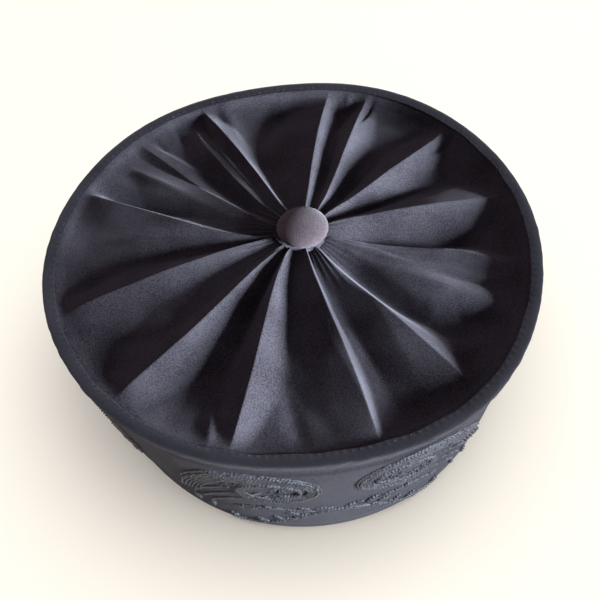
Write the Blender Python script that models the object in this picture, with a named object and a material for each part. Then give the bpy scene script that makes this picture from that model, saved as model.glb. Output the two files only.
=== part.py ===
"""A skufia, the soft cloth cap of the clergy, in metres with +Z up.

The cap stands on its hem. Its origin is the middle of the hem on the floor,
and the front of the cap faces -Y. A tapered side band carries raised scroll
embroidery. The crown cloth is gathered in pleats to a covered button, and a
folded binding holds the crown's edge on the band.
"""
from collections import namedtuple
from math import cos, hypot, pi, radians, sin, sqrt

import bmesh
import bpy

MM = 0.001

# Driving dimensions
RIM_RADIUS = 100.0 * MM        # outside of the binding, before the oval waves
BASE_RADIUS = 96.4 * MM        # outside of the hem
HEIGHT = 73.5 * MM             # floor to the top of the binding
GAP = 0.3 * MM                 # air between neighbouring pieces

# Cloth
BAND_WALL = 2.0 * MM
HEM_WALL = 3.0 * MM            # the band's cloth turned in at the bottom
HEM_HEIGHT = 11.0 * MM
HEM_ROUND = 0.6 * MM
CROWN_WALL = 1.2 * MM
BINDING_WALL = 1.2 * MM
BINDING_WIDTH = 4.8 * MM       # how far the binding reaches in over the crown
BINDING_DROP = 4.2 * MM        # how far it reaches down outside the band
BINDING_DIP = 0.8 * MM         # how much its inner edge lies lower

# Button
BUTTON_RADIUS = 10.6 * MM
BUTTON_DOME = 5.2 * MM
BUTTON_EDGE = 1.6 * MM
BUTTON_PLACE = (4.8 * MM, 2.4 * MM)
BUTTON_SEAT = 1.6 * MM         # underside of the button above the rim's top

# Embroidery
THREAD_WIDTH = 2.6 * MM
THREAD_RAISE = 1.0 * MM
THREAD_TAPER = (0.45, 0.8, 1.0)      # share of the width at and near an end
MOTIF_FACING = (("front", 275.5), ("right", 5.5), ("back", 95.5), ("left", 185.5))

# The embroidery's drawing in mm along and up the band from a motif's middle
TAIL = ((66.0, 23.0), (63.5, 33.0), (59.5, 42.5), (54.0, 51.0))
SPIRAL_MIDDLE = (21.0, 46.5)
SPIRAL_START = 45.0                  # degrees from level, outwards
SPIRAL_TURNS = 1.7
SPIRAL_WIDE = (26.0, 5.0)            # half width of the first and the last turn
SPIRAL_TALL = (16.0, 3.0)
SPIRAL_LEAN = 8.0                    # how far the first turn reaches outwards
STEM_HALF = 47.0
STEM_LEVEL = 14.5
STEM_SWING = 9.5
STEM_WAVES = 0.575                   # waves from the middle to an end

# How finely pieces are divided
ROUND_STEPS = 64
BUTTON_STEPS = 28
DOME_ROWS = 5
SPIRAL_STEPS = 30
STEM_STEPS = 24
FLANK = (0.0, 0.12, 0.35, 0.65, 1.0)  # places down a pleat's flank

Wave = namedtuple("Wave", "lobes share toward")
RIM_WAVES = (
    Wave(2, 0.020, 0.0),
    Wave(3, 0.008, 58.0),
    Wave(4, 0.008, 45.0),
    Wave(6, 0.004, 4.0),
)
BASE_WAVES = (
    Wave(2, 0.010, 124.0),
    Wave(3, 0.009, 28.0),
)

# One row a pleat, counter-clockwise from the cap's right (+X). Its crest is a
# curve through three angles in degrees: hub where it would meet the middle, mid
# half way out and rim at the rim. rise is the crest's height in mm over the
# valleys, cw and ccw the share of the gap to the next crest that each flank
# takes, and ends the share of the radius at which the pleat has flattened out.
Pleat = namedtuple("Pleat", "name hub mid rim rise cw ccw ends")
PLEATS = (
    Pleat("right", -1.2, 7.1, 8.9, 7.5, 0.70, 0.35, 0.92),
    Pleat("right_back", 6.4, 34.0, 37.2, 8.5, 0.43, 0.35, 0.91),
    Pleat("back_right", 16.3, 60.9, 61.6, 9.5, 0.33, 0.42, 0.94),
    Pleat("back", 72.0, 76.7, 73.5, 9.8, 0.40, 0.62, 0.95),
    Pleat("back_left", 121.6, 117.2, 114.4, 8.5, 0.25, 0.45, 0.96),
    Pleat("back_left_low", 131.9, 127.8, 120.2, 3.4, 0.70, 0.60, 0.88),
    Pleat("left_back", 197.1, 141.7, 137.4, 4.8, 0.30, 0.75, 0.96),
    Pleat("left", 211.6, 165.0, 158.5, 4.2, 0.35, 0.75, 0.96),
    Pleat("left_front", 203.6, 194.4, 195.8, 6.5, 0.25, 0.50, 0.96),
    Pleat("front_left", 218.1, 225.8, 224.2, 6.8, 0.38, 0.42, 0.96),
    Pleat("front", 188.1, 251.9, 252.4, 7.4, 0.38, 0.40, 0.96),
    Pleat("front_right", 242.0, 283.3, 284.1, 6.5, 0.50, 0.28, 0.95),
    Pleat("right_front", 242.2, 306.6, 309.4, 5.2, 0.50, 0.14, 0.94),
    Pleat("right_low", 298.6, 345.9, 348.7, 5.0, 0.75, 0.28, 0.92),
)

# Levels that follow from the sizes above
CROWN_EDGE_TOP = HEIGHT - BINDING_WALL - GAP
CROWN_EDGE_UNDER = CROWN_EDGE_TOP - CROWN_WALL
BAND_TOP = CROWN_EDGE_UNDER - GAP
BAND_INSET = BINDING_WALL + GAP      # the band's outside below the binding's
CROWN_INSET = BINDING_WALL + GAP

# The crown's valleys between the button and the rim: share of the radius
# against height in mm over the crown's edge
Level = namedtuple("Level", "share height")
VALLEY = (
    Level(0.00, 1.0),
    Level(0.12, 0.3),
    Level(0.30, -2.0),
    Level(0.60, -3.8),
    Level(0.85, -4.0),
    Level(0.93, -2.2),
    Level(0.955, -0.6),
    Level(0.97, 0.0),
    Level(1.00, 0.0),
)
# The valleys sag more on one side: VALLEY_MEAN + VALLEY_TILT times as deep
# towards VALLEY_TOWARD, in degrees, and VALLEY_MEAN - VALLEY_TILT across from it.
VALLEY_MEAN = 0.72
VALLEY_TILT = 0.95
VALLEY_TOWARD = 32.0
TILT_FROM, TILT_FULL = 0.06, 0.30    # shares of the radius where the tilt comes in
# How tall the pleats stand along the radius, as a share of their rise
CREST = (
    Level(0.00, 0.0),
    Level(0.07, 0.08),
    Level(0.14, 0.42),
    Level(0.30, 0.80),
    Level(0.52, 1.00),
    Level(0.76, 0.88),
    Level(0.90, 0.58),
    Level(1.00, 0.0),
)
CROWN_RINGS = (0.075, 0.14, 0.22, 0.32, 0.44, 0.56, 0.68, 0.79, 0.88, 0.93, 0.97, 1.0)
PLEATS_END = 0.96              # share of the radius where the binding takes over
CREST_START = 0.09             # share of the radius where the crests come out of the middle
FLANK_HOLLOW = 1.08            # over 1, a flank is steepest at its crest


def wavy(radius, waves, angle):
    """A radius with the cap's slightly oval, uneven plan."""
    return radius * (1 + sum(w.share * cos(w.lobes * (angle - radians(w.toward))) for w in waves))


def rim_radius(angle):
    return wavy(RIM_RADIUS, RIM_WAVES, angle)


def wall_radius(angle, height):
    """The outside of the side band at a height over the floor."""
    up = height / HEIGHT
    base = wavy(BASE_RADIUS, BASE_WAVES, angle)
    return base + (rim_radius(angle) - BAND_INSET - base) * up


def between(table, share):
    """A smooth curve through the rows of a table of levels."""
    last = len(table) - 1
    i = next(i for i in range(last) if share <= table[i + 1].share or i == last - 1)

    def lean(k):
        low, high = table[max(k - 1, 0)], table[min(k + 1, last)]
        return (high.height - low.height) / (high.share - low.share)

    low, high = table[i], table[i + 1]
    span = high.share - low.share
    t = (share - low.share) / span
    start = (1 + 2 * t) * (1 - t) ** 2 * low.height + t * (1 - t) ** 2 * span * lean(i)
    end = t * t * (3 - 2 * t) * high.height - t * t * (1 - t) * span * lean(i + 1)
    return start + end


def cloth(name, colour, roughness):
    """A fabric material with its own colour."""
    material = bpy.data.materials.new(name)
    material.use_nodes = True
    shader = material.node_tree.nodes["Principled BSDF"]
    shader.inputs["Base Color"].default_value = (*colour, 1)
    shader.inputs["Roughness"].default_value = roughness
    shader.inputs["Metallic"].default_value = 0
    return material


def finish(name, bm, material):
    """Turn a bmesh into a named object with outward faces."""
    bmesh.ops.recalc_face_normals(bm, faces=bm.faces)
    mesh = bpy.data.meshes.new(name)
    bm.to_mesh(mesh)
    bm.free()
    mesh.materials.append(material)
    mesh.shade_smooth()
    mesh.set_sharp_from_angle(angle=radians(35))
    piece = bpy.data.objects.new(name, mesh)
    bpy.context.collection.objects.link(piece)
    return piece


def skin(bm, rings, closed=False):
    """Faces between rings of the same number of vertices."""
    count = len(rings[0])
    pairs = list(zip(rings, rings[1:]))
    if closed:
        pairs.append((rings[-1], rings[0]))
    for lower, upper in pairs:
        for i in range(count):
            j = (i + 1) % count
            bm.faces.new((lower[i], lower[j], upper[j], upper[i]))


def turned(name, profile, material):
    """A ring-shaped piece: profile(angle) gives its section as radius, height."""
    bm = bmesh.new()
    angles = [2 * pi * i / ROUND_STEPS for i in range(ROUND_STEPS)]
    sections = [profile(angle) for angle in angles]
    rings = []
    for row in range(len(sections[0])):
        ring = []
        for angle, section in zip(angles, sections):
            radius, height = section[row]
            ring.append(bm.verts.new((radius * cos(angle), radius * sin(angle), height)))
        rings.append(ring)
    skin(bm, rings, closed=True)
    return finish(name, bm, material)


# Side band
def band_profile(angle):
    """The band's section, up the outside and down the inside."""
    outside = [(HEM_ROUND, 0.0), (0.0, HEM_ROUND), (0.0, BAND_TOP / 2), (0.0, BAND_TOP)]
    inside = [(BAND_WALL, BAND_TOP), (BAND_WALL, HEM_HEIGHT),
              (HEM_WALL, HEM_HEIGHT - HEM_ROUND), (HEM_WALL, HEM_ROUND),
              (HEM_WALL - HEM_ROUND, 0.0)]
    return [(wall_radius(angle, height) - depth, height) for depth, height in outside + inside]


# Rim binding
def binding_profile(angle):
    """The folded strip: outside skirt, rounded top, flap over the crown."""
    edge = rim_radius(angle)
    top = HEIGHT
    section = (
        (0.0, -BINDING_DROP),
        (0.0, -BINDING_WALL),
        (0.35 * BINDING_WALL, -0.3 * BINDING_WALL),
        (BINDING_WALL, 0.0),
        (0.6 * BINDING_WIDTH, -0.25 * BINDING_DIP),
        (0.95 * BINDING_WIDTH, -BINDING_DIP),
        (BINDING_WIDTH, -BINDING_WALL),
        (BINDING_WALL, -BINDING_WALL),
        (BINDING_WALL, -BINDING_DROP),
    )
    return [(edge - depth, top + height) for depth, height in section]


# Crown
def crest_angle(pleat, share):
    """Where a pleat's crest lies at a share of the radius."""
    run = sqrt(max(share, CREST_START))
    half = sqrt(0.5)
    inner = pleat.hub * (run - half) * (run - 1) / half
    middle = pleat.mid * run * (1 - run) / (half * (1 - half))
    outer = pleat.rim * run * (run - half) / (1 - half)
    return inner + middle + outer


def crest_rise(pleat, share):
    """How far a pleat's crest stands over the valleys."""
    stretched = min(1.0, share / min(pleat.ends, PLEATS_END))
    return pleat.rise * MM * between(CREST, stretched)


def flank(rise, width):
    """A pleat's side as places in the gap and lifts, from the crest down."""
    return [(t * width, rise * (1 - t) ** FLANK_HOLLOW) for t in FLANK]


def crown_columns(share):
    """Angle and lift of the cloth round one ring, pleat by pleat."""
    columns = []
    for pleat, after in zip(PLEATS, PLEATS[1:] + PLEATS[:1]):
        start = crest_angle(pleat, share)
        gap = (crest_angle(after, share) - start) % 360
        falls = flank(crest_rise(pleat, share), pleat.ccw)
        rises = [(1 - place, lift) for place, lift in flank(crest_rise(after, share), after.cw)]
        if falls[-1][0] > rises[-1][0] - 0.01:
            rises.pop()
        columns += [(start + gap * place, lift) for place, lift in falls + rises[:0:-1]]
    return columns


def valley_level(angle, share):
    """How high the valleys lie at an angle in degrees and a share of the radius."""
    t = min(max((share - TILT_FROM) / (TILT_FULL - TILT_FROM), 0.0), 1.0)
    tilt = VALLEY_MEAN + VALLEY_TILT * cos(radians(angle - VALLEY_TOWARD))
    depth = 1 + (tilt - 1) * t * t * (3 - 2 * t)
    return CROWN_EDGE_TOP + between(VALLEY, share) * depth * MM


def crown_point(angle, share, height):
    """A point of the crown, whose rings drift from the rim to the button."""
    edge = (rim_radius(angle) - CROWN_INSET) * share
    x = BUTTON_PLACE[0] * (1 - share) + edge * cos(angle)
    y = BUTTON_PLACE[1] * (1 - share) + edge * sin(angle)
    return x, y, height


def crown_ring(bm, share, under):
    """One ring of the crown cloth, on its top or on its underside."""
    columns = crown_columns(share)
    radius = RIM_RADIUS * share
    ring = []
    for i, (angle, lift) in enumerate(columns):
        before, after = columns[i - 1], columns[(i + 1) % len(columns)]
        run = max(radius * radians((after[0] - before[0]) % 360), 0.2 * MM)
        slope = min(abs(after[1] - before[1]) / run, 2.0)
        height = valley_level(angle, share) + lift
        if under:
            height -= CROWN_WALL * sqrt(1 + slope * slope)
        ring.append(bm.verts.new(crown_point(radians(angle), share, height)))
    return ring


def make_crown(material):
    """The pleated top cloth, one wall with a top and an underside."""
    bm = bmesh.new()
    top = [crown_ring(bm, share, under=False) for share in CROWN_RINGS]
    under = [crown_ring(bm, share, under=True) for share in CROWN_RINGS]
    skin(bm, top + under[::-1])
    bm.faces.new(top[0])
    bm.faces.new(under[0])
    return finish("crown", bm, material)


# Button
def make_button(material):
    """The covered button, a dome over a flat underside."""
    seat = HEIGHT + BUTTON_SEAT
    profile = [(0.0, seat), (BUTTON_RADIUS - 1.2 * MM, seat), (BUTTON_RADIUS, seat + BUTTON_EDGE)]
    for row in range(1, DOME_ROWS + 1):
        turn = pi / 2 * row / DOME_ROWS
        radius = BUTTON_RADIUS * cos(turn)
        profile.append((radius, seat + BUTTON_EDGE + (BUTTON_DOME - BUTTON_EDGE) * sin(turn)))
    bm = bmesh.new()
    line = [bm.verts.new((radius, 0.0, height)) for radius, height in profile]
    edges = [bm.edges.new(pair) for pair in zip(line, line[1:])]
    bmesh.ops.spin(bm, geom=line + edges, axis=(0, 0, 1), angle=2 * pi, steps=BUTTON_STEPS)
    bmesh.ops.remove_doubles(bm, verts=bm.verts, dist=0.01 * MM)
    piece = finish("button", bm, material)
    piece.location = (*BUTTON_PLACE, 0)
    return piece


# Embroidery
def spiral_route(side):
    """A tail and then a long spiral inwards, to one side of the motif's middle."""
    route = list(TAIL)
    for i in range(SPIRAL_STEPS + 1):
        t = i / SPIRAL_STEPS
        turn = radians(SPIRAL_START) + 2 * pi * SPIRAL_TURNS * t
        inwards = t ** 0.75
        wide = SPIRAL_WIDE[0] + (SPIRAL_WIDE[1] - SPIRAL_WIDE[0]) * inwards
        tall = SPIRAL_TALL[0] + (SPIRAL_TALL[1] - SPIRAL_TALL[0]) * inwards
        along = SPIRAL_MIDDLE[0] + SPIRAL_LEAN * (1 - t) + wide * cos(turn)
        route.append((along, SPIRAL_MIDDLE[1] + tall * sin(turn)))
    return [(along * side, up) for along, up in route]


def stem_route():
    """The wavy stem that joins a pair of spirals from below."""
    route = []
    for i in range(STEM_STEPS + 1):
        t = 2 * i / STEM_STEPS - 1
        route.append((STEM_HALF * t, STEM_LEVEL + STEM_SWING * cos(2 * pi * STEM_WAVES * t)))
    return route


def thread_body(name, route, facing, material):
    """A raised thread along a route on the band, with tapered ends."""
    bm = bmesh.new()
    mean_radius = (RIM_RADIUS + BASE_RADIUS) / 2
    rings = []
    for i, (along, up) in enumerate(route):
        before, after = route[max(i - 1, 0)], route[min(i + 1, len(route) - 1)]
        run = (after[0] - before[0], after[1] - before[1])
        length = hypot(*run)
        side = (-run[1] / length, run[0] / length)
        end = min(i, len(route) - 1 - i)
        wide = THREAD_WIDTH * THREAD_TAPER[min(end, len(THREAD_TAPER) - 1)] / 2
        top = GAP + THREAD_RAISE
        ring = []
        for across, out in ((-1.0, GAP), (-0.55, top), (0.55, top), (1.0, GAP)):
            s = along * MM + side[0] * wide * across
            z = up * MM + side[1] * wide * across
            angle = radians(facing) + s / mean_radius
            radius = wall_radius(angle, z) + out
            ring.append(bm.verts.new((radius * cos(angle), radius * sin(angle), z)))
        rings.append(ring)
    skin(bm, rings)
    bm.faces.new(rings[0])
    bm.faces.new(rings[-1])
    return finish(name, bm, material)


def make_embroidery(material):
    """Four motifs round the band: two mirrored spirals and a stem each."""
    for side_name, facing in MOTIF_FACING:
        thread_body("scroll_%s_a" % side_name, spiral_route(-1), facing, material)
        thread_body("scroll_%s_b" % side_name, spiral_route(1), facing, material)
        thread_body("stem_%s" % side_name, stem_route(), facing, material)


for old in list(bpy.data.objects):
    bpy.data.objects.remove(old, do_unlink=True)

turned("side_band", band_profile, cloth("band_cloth", (0.045, 0.046, 0.060), 0.85))
turned("rim_binding", binding_profile, cloth("binding_cloth", (0.040, 0.040, 0.052), 0.85))
make_crown(cloth("crown_cloth", (0.045, 0.043, 0.055), 0.85))
make_button(cloth("button_cloth", (0.060, 0.052, 0.062), 0.80))
make_embroidery(cloth("embroidery_thread", (0.030, 0.031, 0.040), 0.45))
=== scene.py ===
"""A skufia, the soft black cloth cap of the clergy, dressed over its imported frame.

Metres, +Z up. The cap stands on its hem round the origin, its front towards -Y,
and is put together from the side band up to the covered button.
"""

import math

import bpy
import numpy as np
from mathutils import Euler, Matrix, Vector


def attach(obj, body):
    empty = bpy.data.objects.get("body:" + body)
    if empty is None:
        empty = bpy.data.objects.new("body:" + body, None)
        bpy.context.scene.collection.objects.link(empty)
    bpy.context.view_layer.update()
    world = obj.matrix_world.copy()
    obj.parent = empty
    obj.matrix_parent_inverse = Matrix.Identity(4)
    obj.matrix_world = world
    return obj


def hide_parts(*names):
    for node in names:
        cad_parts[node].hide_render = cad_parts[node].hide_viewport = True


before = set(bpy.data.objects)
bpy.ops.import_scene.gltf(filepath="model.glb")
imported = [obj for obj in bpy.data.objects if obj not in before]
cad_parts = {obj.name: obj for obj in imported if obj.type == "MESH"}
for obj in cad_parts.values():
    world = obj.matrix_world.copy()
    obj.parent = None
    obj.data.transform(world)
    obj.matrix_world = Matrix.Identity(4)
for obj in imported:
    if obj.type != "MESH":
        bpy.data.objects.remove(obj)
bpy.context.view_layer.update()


# Camera
# The photograph looks down on the cap from the front and slightly to one side,
# close enough for the near rim to look larger than the far one.
CAMERA_PLACE = (0.0, -0.1709, 0.2858)
CAMERA_TURN = (33.3, 2.56, -4.33)
LENS = 39.6

camera_lens = bpy.data.cameras.new("camera")
camera_lens.lens = LENS
camera_lens.sensor_width = 36.0
camera_lens.clip_start = 0.01
camera = bpy.data.objects.new("camera", camera_lens)
camera.location = CAMERA_PLACE
camera.rotation_euler = Euler([math.radians(turn) for turn in CAMERA_TURN], "XYZ")
bpy.context.collection.objects.link(camera)
bpy.context.scene.camera = camera
bpy.context.scene.view_settings.view_transform = "Standard"


# Floor
# A wide sheet of pale cream card that the cap stands on. It reaches far behind
# the cap, and carries only a faint tone of its own.
FLOOR_SIZE = 6.0
FLOOR_CREAM = (0.90, 0.870, 0.765, 1)

bpy.ops.object.select_all(action="DESELECT")
bpy.ops.mesh.primitive_plane_add(size=FLOOR_SIZE)
floor = bpy.context.active_object
floor.name = "floor"
card = bpy.data.materials.new("cream_card")
card.use_nodes = True
card_shader = card.node_tree.nodes["Principled BSDF"]
card_shader.inputs["Base Color"].default_value = FLOOR_CREAM
card_shader.inputs["Roughness"].default_value = 0.9
card_shader.inputs["Specular IOR Level"].default_value = 0.1
floor.data.materials.append(card)


# Light
# One window-like soft light low on the right draws the pleats, and a weak warm
# one answers from behind. Two lights from above reach the floor alone, and a
# slightly rosy room fills the rest.
LAMP_AIM = 0.06
KEY_AZIMUTH = -26.0
KEY_HEIGHT = 9.5
KEY_DISTANCE = 1.3
KEY_SIZE = 0.34
KEY_POWER = 138.0
KEY_COLOUR = (0.90, 0.975, 1.07)
WARM_AZIMUTH = 112.0
WARM_HEIGHT = 26.0
WARM_DISTANCE = 1.2
WARM_SIZE = 0.5
WARM_POWER = 2.5
WARM_COLOUR = (1.0, 0.66, 0.62)
FLOOR_AZIMUTH = 12.0
FLOOR_HEIGHT = 62.0
FLOOR_DISTANCE = 2.0
FLOOR_LIGHT_SIZE = 1.7
FLOOR_POWER = 13.0
FLOOR_LIGHT_COLOUR = (1.0, 1.0, 1.0)
FILL_HEIGHT = 86.0
FILL_DISTANCE = 3.0
FILL_SIZE = 4.0
FILL_POWER = 117.0
ROOM_COLOUR = (1.0, 0.84, 0.98, 1)
ROOM_STRENGTH = 0.22
WALL_COLOUR = (1.0, 0.98, 0.88, 1)


def soft_light(name, azimuth, height, distance, size, power, colour):
    """A square lamp that looks at the middle of the cap."""
    lamp = bpy.data.lights.new(name, "AREA")
    lamp.shape = "SQUARE"
    lamp.size = size
    lamp.energy = power
    lamp.color = colour
    around, up = math.radians(azimuth), math.radians(height)
    way = Vector((math.cos(around) * math.cos(up), math.sin(around) * math.cos(up), math.sin(up)))
    light = bpy.data.objects.new(name, lamp)
    light.location = way * distance + Vector((0, 0, LAMP_AIM))
    light.rotation_euler = way.to_track_quat("Z", "Y").to_euler()
    bpy.context.collection.objects.link(light)
    return light


def light_only(light, *objects, leave_out=False):
    """Limits a light to some objects, or keeps it off them."""
    group = bpy.data.collections.new(light.name + "_lights")
    for thing in objects:
        group.objects.link(thing)
    for entry in group.collection_objects:
        entry.light_linking.link_state = "EXCLUDE" if leave_out else "INCLUDE"
    light.light_linking.receiver_collection = group


key_light = soft_light("key_light", KEY_AZIMUTH, KEY_HEIGHT, KEY_DISTANCE, KEY_SIZE, KEY_POWER,
                       KEY_COLOUR)
warm_light = soft_light("warm_light", WARM_AZIMUTH, WARM_HEIGHT, WARM_DISTANCE, WARM_SIZE,
                        WARM_POWER, WARM_COLOUR)
floor_light = soft_light("floor_light", FLOOR_AZIMUTH, FLOOR_HEIGHT, FLOOR_DISTANCE,
                         FLOOR_LIGHT_SIZE, FLOOR_POWER, FLOOR_LIGHT_COLOUR)
floor_fill = soft_light("floor_fill", FLOOR_AZIMUTH, FILL_HEIGHT, FILL_DISTANCE, FILL_SIZE,
                        FILL_POWER, FLOOR_LIGHT_COLOUR)
light_only(warm_light, floor, leave_out=True)
light_only(floor_light, floor)
light_only(floor_fill, floor)

room = bpy.data.worlds.new("pale_room")
room.use_nodes = True
nodes, links = room.node_tree.nodes, room.node_tree.links
room_light = nodes["Background"]
room_light.inputs["Color"].default_value = ROOM_COLOUR
room_light.inputs["Strength"].default_value = ROOM_STRENGTH
far_wall = nodes.new("ShaderNodeBackground")
far_wall.inputs["Color"].default_value = WALL_COLOUR
rays = nodes.new("ShaderNodeLightPath")
seen = nodes.new("ShaderNodeMixShader")
links.new(rays.outputs["Is Camera Ray"], seen.inputs["Fac"])
links.new(room_light.outputs["Background"], seen.inputs[1])
links.new(far_wall.outputs["Background"], seen.inputs[2])
links.new(seen.outputs["Shader"], nodes["World Output"].inputs["Surface"])
bpy.context.scene.world = room


# Side band
# The upright wall of the cap: firm black wool cloth, closed by one seam at the
# back, its lower edge turned in as a hem. It stands out a little where it is
# embroidered.
MM = 0.001
RIM_RADIUS = 100.0 * MM
BASE_RADIUS = 96.4 * MM
HEIGHT = 73.5 * MM
BAND_TOP = 70.5 * MM
BAND_INSET = 1.5 * MM
BAND_WALL = 2.0 * MM
HEM_WALL = 3.0 * MM
HEM_HEIGHT = 11.0 * MM
HEM_ROUND = 0.9 * MM
# Waves in the plan: how many round the cap, share of the radius, widest where.
RIM_WAVES = ((2, 0.020, 0), (3, 0.008, 58), (4, 0.008, 45), (6, 0.004, 4))
BASE_WAVES = ((2, 0.010, 124), (3, 0.009, 28))
BAND_COLUMNS = 720
BAND_STRIP = 160.0 * MM
# Once round the wall: depth in from the outside and height over the floor.
BAND_SECTION = (
    [(0.0, height) for height in np.linspace(HEM_ROUND, BAND_TOP, 62)]
    + [(0.5 * BAND_WALL, BAND_TOP + 0.2 * MM), (BAND_WALL, BAND_TOP)]
    + [(BAND_WALL, height) for height in np.linspace(64 * MM, HEM_HEIGHT + 0.8 * MM, 12)]
    + [(HEM_WALL - 0.3 * MM, HEM_HEIGHT), (HEM_WALL, HEM_HEIGHT - 0.8 * MM)]
    + [(HEM_WALL, height) for height in (7.0 * MM, 3.5 * MM, HEM_ROUND)]
    + [(HEM_WALL - 0.3 * HEM_ROUND, 0.3 * HEM_ROUND), (HEM_WALL - HEM_ROUND, 0.0)]
    + [(HEM_ROUND, 0.0), (0.3 * HEM_ROUND, 0.3 * HEM_ROUND)]
)
BAND_DRIFT, BAND_DRIFT_LENGTH = 0.22 * MM, 34.0 * MM
DRIFT_WAVES = 14
SWELL = 0.55 * MM
SWELL_HALF = 68.0 * MM
SWELL_FROM, SWELL_TO = 3.0 * MM, 63.5 * MM
SWELL_EDGE, SWELL_TOP_EDGE = 6.0 * MM, 1.6 * MM
MOTIF_FACING = (("front", 275.5), ("right", 5.5), ("back", 95.5), ("left", 185.5))
BAND_SEAM = 90.0
BAND_SEAM_DEPTH = 0.5 * MM
SEAM_GROOVE, SEAM_ROLL = 0.7 * MM, 2.6 * MM
WOOL_BLACK = (0.012, 0.010, 0.014, 1)
WOOL_LIT = (0.052, 0.050, 0.060, 1)
WOOL_SHEEN = 0.16
THREAD_PITCH = 0.42 * MM
WEAVE_RELIEF = 0.16 * MM


def wavy(radius, waves, angle):
    """A radius with the cap's slightly oval, uneven plan."""
    return radius * (1 + sum(share * np.cos(lobes * (angle - math.radians(toward)))
                             for lobes, share, toward in waves))


def rim_radius(angle):
    """The outside of the binding at the rim."""
    return wavy(RIM_RADIUS, RIM_WAVES, angle)


def wall_radius(angle, height):
    """The outside of the side band at a height over the floor."""
    base = wavy(BASE_RADIUS, BASE_WAVES, angle)
    return base + (rim_radius(angle) - BAND_INSET - base) * height / HEIGHT


def from_seam(angle):
    """The distance along the rim from the band's seam."""
    return np.radians((np.degrees(angle) - BAND_SEAM + 180) % 360 - 180) * RIM_RADIUS


def ramp(value, start, end):
    """Rises smoothly from 0 at start to 1 at end."""
    t = np.clip((value - start) / (end - start), 0, 1)
    return t * t * (3 - 2 * t)


def stitched_swell(angle, height):
    """How far the band stands out where the embroidery stiffens and lifts it."""
    turns = (np.degrees(angle) - MOTIF_FACING[0][1] + 45) % 90 - 45
    aside = np.abs(np.radians(turns)) * RIM_RADIUS
    upright = ramp(height, SWELL_FROM, SWELL_FROM + SWELL_EDGE)
    upright = upright * (1 - ramp(height, SWELL_TO - SWELL_TOP_EDGE, SWELL_TO))
    return SWELL * upright * (1 - ramp(aside, SWELL_HALF - SWELL_EDGE, SWELL_HALF))


def drift(across, along, size, seed):
    """Slow uneven rises and hollows, mostly between -1 and 1, about size long."""
    chance = np.random.RandomState(seed)
    total = np.zeros(np.broadcast(across, along).shape)
    for wave in range(DRIFT_WAVES):
        way = chance.uniform(0, 2 * math.pi)
        length = size * chance.uniform(0.55, 1.7)
        start = chance.uniform(0, 2 * math.pi)
        steps = (np.cos(way) * across + np.sin(way) * along) * 2 * math.pi / length
        total += np.sin(steps + start)
    return total / (DRIFT_WAVES / 2)


def cloth_grid(name, across, along):
    """A flat grid of cloth with the share of its width and length at each vertex."""
    bpy.ops.object.select_all(action="DESELECT")
    bpy.ops.mesh.primitive_grid_add(x_subdivisions=across, y_subdivisions=along, size=2)
    piece = bpy.context.active_object
    piece.name = name
    places = np.empty(len(piece.data.vertices) * 3)
    piece.data.vertices.foreach_get("co", places)
    flat = (places.reshape(-1, 3) + 1) / 2
    return piece, flat[:, 0], flat[:, 1]


def lay_threads(piece, across, along):
    """Writes the cloth's UV map: metres along its own threads, face corner by corner."""
    corners = np.empty(len(piece.data.loops), dtype=int)
    piece.data.loops.foreach_get("vertex_index", corners)
    threads = np.stack([across[corners], along[corners]], axis=1)
    piece.data.uv_layers.active.data.foreach_set("uv", threads.ravel())


def close_cloth(piece, x, y, z):
    """Moves the grid's vertices into place and sews its meeting edges together."""
    piece.data.vertices.foreach_set("co", np.stack([x, y, z], axis=1).ravel())
    bpy.ops.object.mode_set(mode="EDIT")
    bpy.ops.mesh.select_all(action="SELECT")
    bpy.ops.mesh.remove_doubles(threshold=0.000002)
    bpy.ops.mesh.normals_make_consistent(inside=False)
    bpy.ops.object.mode_set(mode="OBJECT")
    bpy.ops.object.shade_smooth()


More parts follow.
